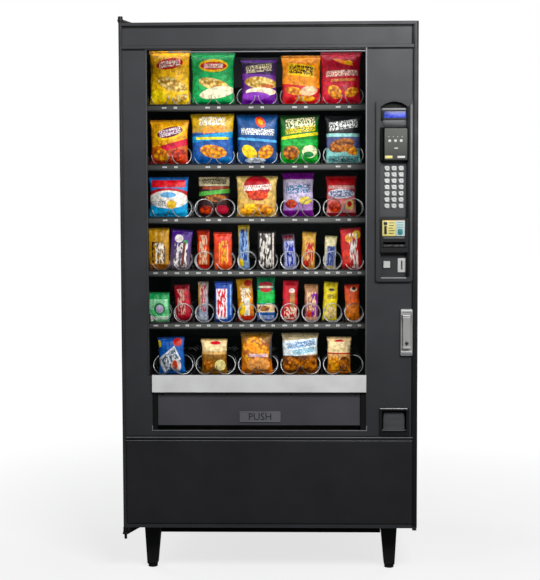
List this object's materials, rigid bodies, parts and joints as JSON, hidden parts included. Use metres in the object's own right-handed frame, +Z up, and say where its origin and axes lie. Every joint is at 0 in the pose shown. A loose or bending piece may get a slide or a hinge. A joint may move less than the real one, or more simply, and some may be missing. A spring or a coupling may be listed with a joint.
{
  "type": "snack vending machine",
  "caption": "Upright snack vending machine: steel cabinet on legs, glazed hinged door, spiral trays, keypad panel, delivery bin and lever handle.",
  "frame": {"origin": "on the floor below the middle of the machine's width and depth", "axes": "+Z up, -Y towards the user at the glazed front, +X to the user's right"},
  "size_m": [0.981, 0.889, 1.85],
  "materials": {
    "charcoal_paint": "fine textured charcoal paint",
    "black_paint": "satin black paint",
    "tray_paint": "satin black paint",
    "dark_steel": "dark grey paint",
    "zinc_steel": "zinc plated",
    "satin_metal": "satin metal",
    "sill_aluminium": "brushed and clear coated",
    "spiral_wire": "bright plated wire",
    "window_glass": "clear toughened glass",
    "lamp": "lit tube in a white holder",
    "fascia_plastic": "fine grained dark grey moulding",
    "grey_plastic": "grey moulding",
    "black_plastic": "black moulding",
    "flap_plastic": "grained dark grey moulding",
    "key_plastic": "light grey keys",
    "display_blue": "lit display window",
    "label": "printed label",
    "print_white": "white print",
    "rubber_seal": "black rubber",
    "pack_film": null
  },
  "bodies": {
    "root": {"cabinet_shell": "charcoal_paint", "rear_panel": "charcoal_paint", "base_frame": "black_paint", "legs": "black_paint", "levelling_feet": "dark_steel", "hinge_brackets": "dark_steel", "tray_supports": "black_paint", "cabinet_lamp": "lamp", "power_unit": "zinc_steel"},
    "door": {"door_frame": "charcoal_paint", "window_glass": "window_glass", "lower_panel": "black_paint", "sill_strip": "sill_aluminium", "fascia": "fascia_plastic", "keypad_panel": "grey_plastic", "display_module": "black_plastic", "card_reader": "grey_plastic", "bill_validator": "black_plastic", "coin_mechanism": "zinc_steel", "coin_cup": "black_plastic", "delivery_bin": "black_paint", "handle_dish": "satin_metal"},
    "coin_return_button": {"coin_return_button": "satin_metal"},
    "coin_cup_flap": {"coin_cup_flap": "black_plastic"},
    "delivery_flap": {"delivery_flap": "flap_plastic"},
    "handle_spindle": {"handle_spindle": "zinc_steel"},
    "handle_lever": {"handle_lever": "satin_metal"},
    "tray_1": {"tray_1": "tray_paint"},
    "tray_2": {"tray_2": "tray_paint"},
    "tray_3": {"tray_3": "tray_paint"},
    "tray_4": {"tray_4": "tray_paint"},
    "tray_5": {"tray_5": "tray_paint"},
    "tray_6": {"tray_6": "tray_paint"},
    "spiral_1_left": {"spiral_1_left": "spiral_wire"},
    "spiral_1_right": {"spiral_1_right": "spiral_wire"},
    "spiral_4": {"spiral_4": "spiral_wire"},
    "spiral_5": {"spiral_5": "spiral_wire"},
    "spiral_6_left": {"spiral_6_left": "spiral_wire"},
    "spiral_6_right": {"spiral_6_right": "spiral_wire"},
    "key_1": {"key_1": "key_plastic"},
    "key_2": {"key_2": "key_plastic"},
    "key_3": {"key_3": "key_plastic"},
    "key_4": {"key_4": "key_plastic"},
    "key_5": {"key_5": "key_plastic"},
    "key_6": {"key_6": "key_plastic"},
    "key_7": {"key_7": "key_plastic"},
    "key_8": {"key_8": "key_plastic"},
    "key_9": {"key_9": "key_plastic"},
    "key_10": {"key_10": "key_plastic"},
    "key_11": {"key_11": "key_plastic"},
    "key_12": {"key_12": "key_plastic"},
    "key_13": {"key_13": "key_plastic"},
    "key_14": {"key_14": "key_plastic"},
    "key_15": {"key_15": "key_plastic"},
    "key_16": {"key_16": "key_plastic"},
    "key_17": {"key_17": "key_plastic"},
    "key_18": {"key_18": "key_plastic"},
    "key_19": {"key_19": "key_plastic"},
    "key_20": {"key_20": "key_plastic"},
    "key_21": {"key_21": "key_plastic"}
  },
  "joints": [
    {"name": "door_hinge", "type": "hinge", "parent": "root", "child": "door", "pos_m": [-0.482, -0.421, 1], "axis": [0, 0, -1], "range_deg": [0, 110]},
    {"name": "delivery_flap_hinge", "type": "hinge", "parent": "door", "child": "delivery_flap", "pos_m": [-0.035, -0.411, 0.61], "axis": [1, 0, 0], "range_deg": [0, 65]},
    {"name": "coin_cup_flap_hinge", "type": "hinge", "parent": "door", "child": "coin_cup_flap", "pos_m": [0.412, -0.4115, 0.551], "axis": [1, 0, 0], "range_deg": [0, 50]},
    {"name": "coin_return_press", "type": "slide", "parent": "door", "child": "coin_return_button", "axis": [0, 1, 0], "range_m": [0, 0.004], "stiffness_N_per_m": 300},
    {"name": "handle_turn", "type": "hinge", "parent": "door", "child": "handle_spindle", "pos_m": [0.4515, -0.43, 0.862], "axis": [0, 1, 0], "range_deg": [0, 90]},
    {"name": "handle_lift", "type": "hinge", "parent": "handle_spindle", "child": "handle_lever", "pos_m": [0.4515, -0.44135, 0.872], "axis": [-1, 0, 0], "range_deg": [0, 40]},
    {"name": "tray_1_slide", "type": "slide", "parent": "root", "child": "tray_1", "axis": [0, -1, 0], "range_m": [0, 0.1]},
    {"name": "tray_2_slide", "type": "slide", "parent": "root", "child": "tray_2", "axis": [0, -1, 0], "range_m": [0, 0.1]},
    {"name": "tray_3_slide", "type": "slide", "parent": "root", "child": "tray_3", "axis": [0, -1, 0], "range_m": [0, 0.1]},
    {"name": "tray_4_slide", "type": "slide", "parent": "root", "child": "tray_4", "axis": [0, -1, 0], "range_m": [0, 0.1]},
    {"name": "tray_5_slide", "type": "slide", "parent": "root", "child": "tray_5", "axis": [0, -1, 0], "range_m": [0, 0.1]},
    {"name": "tray_6_slide", "type": "slide", "parent": "root", "child": "tray_6", "axis": [0, -1, 0], "range_m": [0, 0.1]},
    {"name": "spiral_1_left_turn", "type": "hinge", "parent": "tray_1", "child": "spiral_1_left", "pos_m": [-0.07965, 0, 1.60555], "axis": [0, 1, 0], "range_deg": [0, 360]},
    {"name": "spiral_1_right_turn", "type": "hinge", "parent": "tray_1", "child": "spiral_1_right", "pos_m": [-0.00635, 0, 1.60555], "axis": [0, 1, 0], "range_deg": [-360, 0]},
    {"name": "spiral_4_turn", "type": "hinge", "parent": "tray_4", "child": "spiral_4", "pos_m": [-0.07965, 0, 1.04725], "axis": [0, 1, 0], "range_deg": [0, 360]},
    {"name": "spiral_5_turn", "type": "hinge", "parent": "tray_5", "child": "spiral_5", "pos_m": [-0.07965, 0, 0.86785], "axis": [0, 1, 0], "range_deg": [0, 360]},
    {"name": "spiral_6_left_turn", "type": "hinge", "parent": "tray_6", "child": "spiral_6_left", "pos_m": [-0.07965, 0, 0.68845], "axis": [0, 1, 0], "range_deg": [0, 360]},
    {"name": "spiral_6_right_turn", "type": "hinge", "parent": "tray_6", "child": "spiral_6_right", "pos_m": [-0.00635, 0, 0.68845], "axis": [0, 1, 0], "range_deg": [-360, 0]},
    {"name": "key_1_press", "type": "slide", "parent": "door", "child": "key_1", "axis": [0, 1, 0], "range_m": [0, 0.0025], "stiffness_N_per_m": 400},
    {"name": "key_2_press", "type": "slide", "parent": "door", "child": "key_2", "axis": [0, 1, 0], "range_m": [0, 0.0025], "stiffness_N_per_m": 400},
    {"name": "key_3_press", "type": "slide", "parent": "door", "child": "key_3", "axis": [0, 1, 0], "range_m": [0, 0.0025], "stiffness_N_per_m": 400},
    {"name": "key_4_press", "type": "slide", "parent": "door", "child": "key_4", "axis": [0, 1, 0], "range_m": [0, 0.0025], "stiffness_N_per_m": 400},
    {"name": "key_5_press", "type": "slide", "parent": "door", "child": "key_5", "axis": [0, 1, 0], "range_m": [0, 0.0025], "stiffness_N_per_m": 400},
    {"name": "key_6_press", "type": "slide", "parent": "door", "child": "key_6", "axis": [0, 1, 0], "range_m": [0, 0.0025], "stiffness_N_per_m": 400},
    {"name": "key_7_press", "type": "slide", "parent": "door", "child": "key_7", "axis": [0, 1, 0], "range_m": [0, 0.0025], "stiffness_N_per_m": 400},
    {"name": "key_8_press", "type": "slide", "parent": "door", "child": "key_8", "axis": [0, 1, 0], "range_m": [0, 0.0025], "stiffness_N_per_m": 400},
    {"name": "key_9_press", "type": "slide", "parent": "door", "child": "key_9", "axis": [0, 1, 0], "range_m": [0, 0.0025], "stiffness_N_per_m": 400},
    {"name": "key_10_press", "type": "slide", "parent": "door", "child": "key_10", "axis": [0, 1, 0], "range_m": [0, 0.0025], "stiffness_N_per_m": 400},
    {"name": "key_11_press", "type": "slide", "parent": "door", "child": "key_11", "axis": [0, 1, 0], "range_m": [0, 0.0025], "stiffness_N_per_m": 400},
    {"name": "key_12_press", "type": "slide", "parent": "door", "child": "key_12", "axis": [0, 1, 0], "range_m": [0, 0.0025], "stiffness_N_per_m": 400},
    {"name": "key_13_press", "type": "slide", "parent": "door", "child": "key_13", "axis": [0, 1, 0], "range_m": [0, 0.0025], "stiffness_N_per_m": 400},
    {"name": "key_14_press", "type": "slide", "parent": "door", "child": "key_14", "axis": [0, 1, 0], "range_m": [0, 0.0025], "stiffness_N_per_m": 400},
    {"name": "key_15_press", "type": "slide", "parent": "door", "child": "key_15", "axis": [0, 1, 0], "range_m": [0, 0.0025], "stiffness_N_per_m": 400},
    {"name": "key_16_press", "type": "slide", "parent": "door", "child": "key_16", "axis": [0, 1, 0], "range_m": [0, 0.0025], "stiffness_N_per_m": 400},
    {"name": "key_17_press", "type": "slide", "parent": "door", "child": "key_17", "axis": [0, 1, 0], "range_m": [0, 0.0025], "stiffness_N_per_m": 400},
    {"name": "key_18_press", "type": "slide", "parent": "door", "child": "key_18", "axis": [0, 1, 0], "range_m": [0, 0.0025], "stiffness_N_per_m": 400},
    {"name": "key_19_press", "type": "slide", "parent": "door", "child": "key_19", "axis": [0, 1, 0], "range_m": [0, 0.0025], "stiffness_N_per_m": 400},
    {"name": "key_20_press", "type": "slide", "parent": "door", "child": "key_20", "axis": [0, 1, 0], "range_m": [0, 0.0025], "stiffness_N_per_m": 400},
    {"name": "key_21_press", "type": "slide", "parent": "door", "child": "key_21", "axis": [0, 1, 0], "range_m": [0, 0.0025], "stiffness_N_per_m": 400}
  ],
  "couplings": [
    {"joint": "spiral_1_right_turn", "follows": "spiral_1_left_turn", "ratio": -1},
    {"joint": "spiral_6_right_turn", "follows": "spiral_6_left_turn", "ratio": -1}
  ]
}
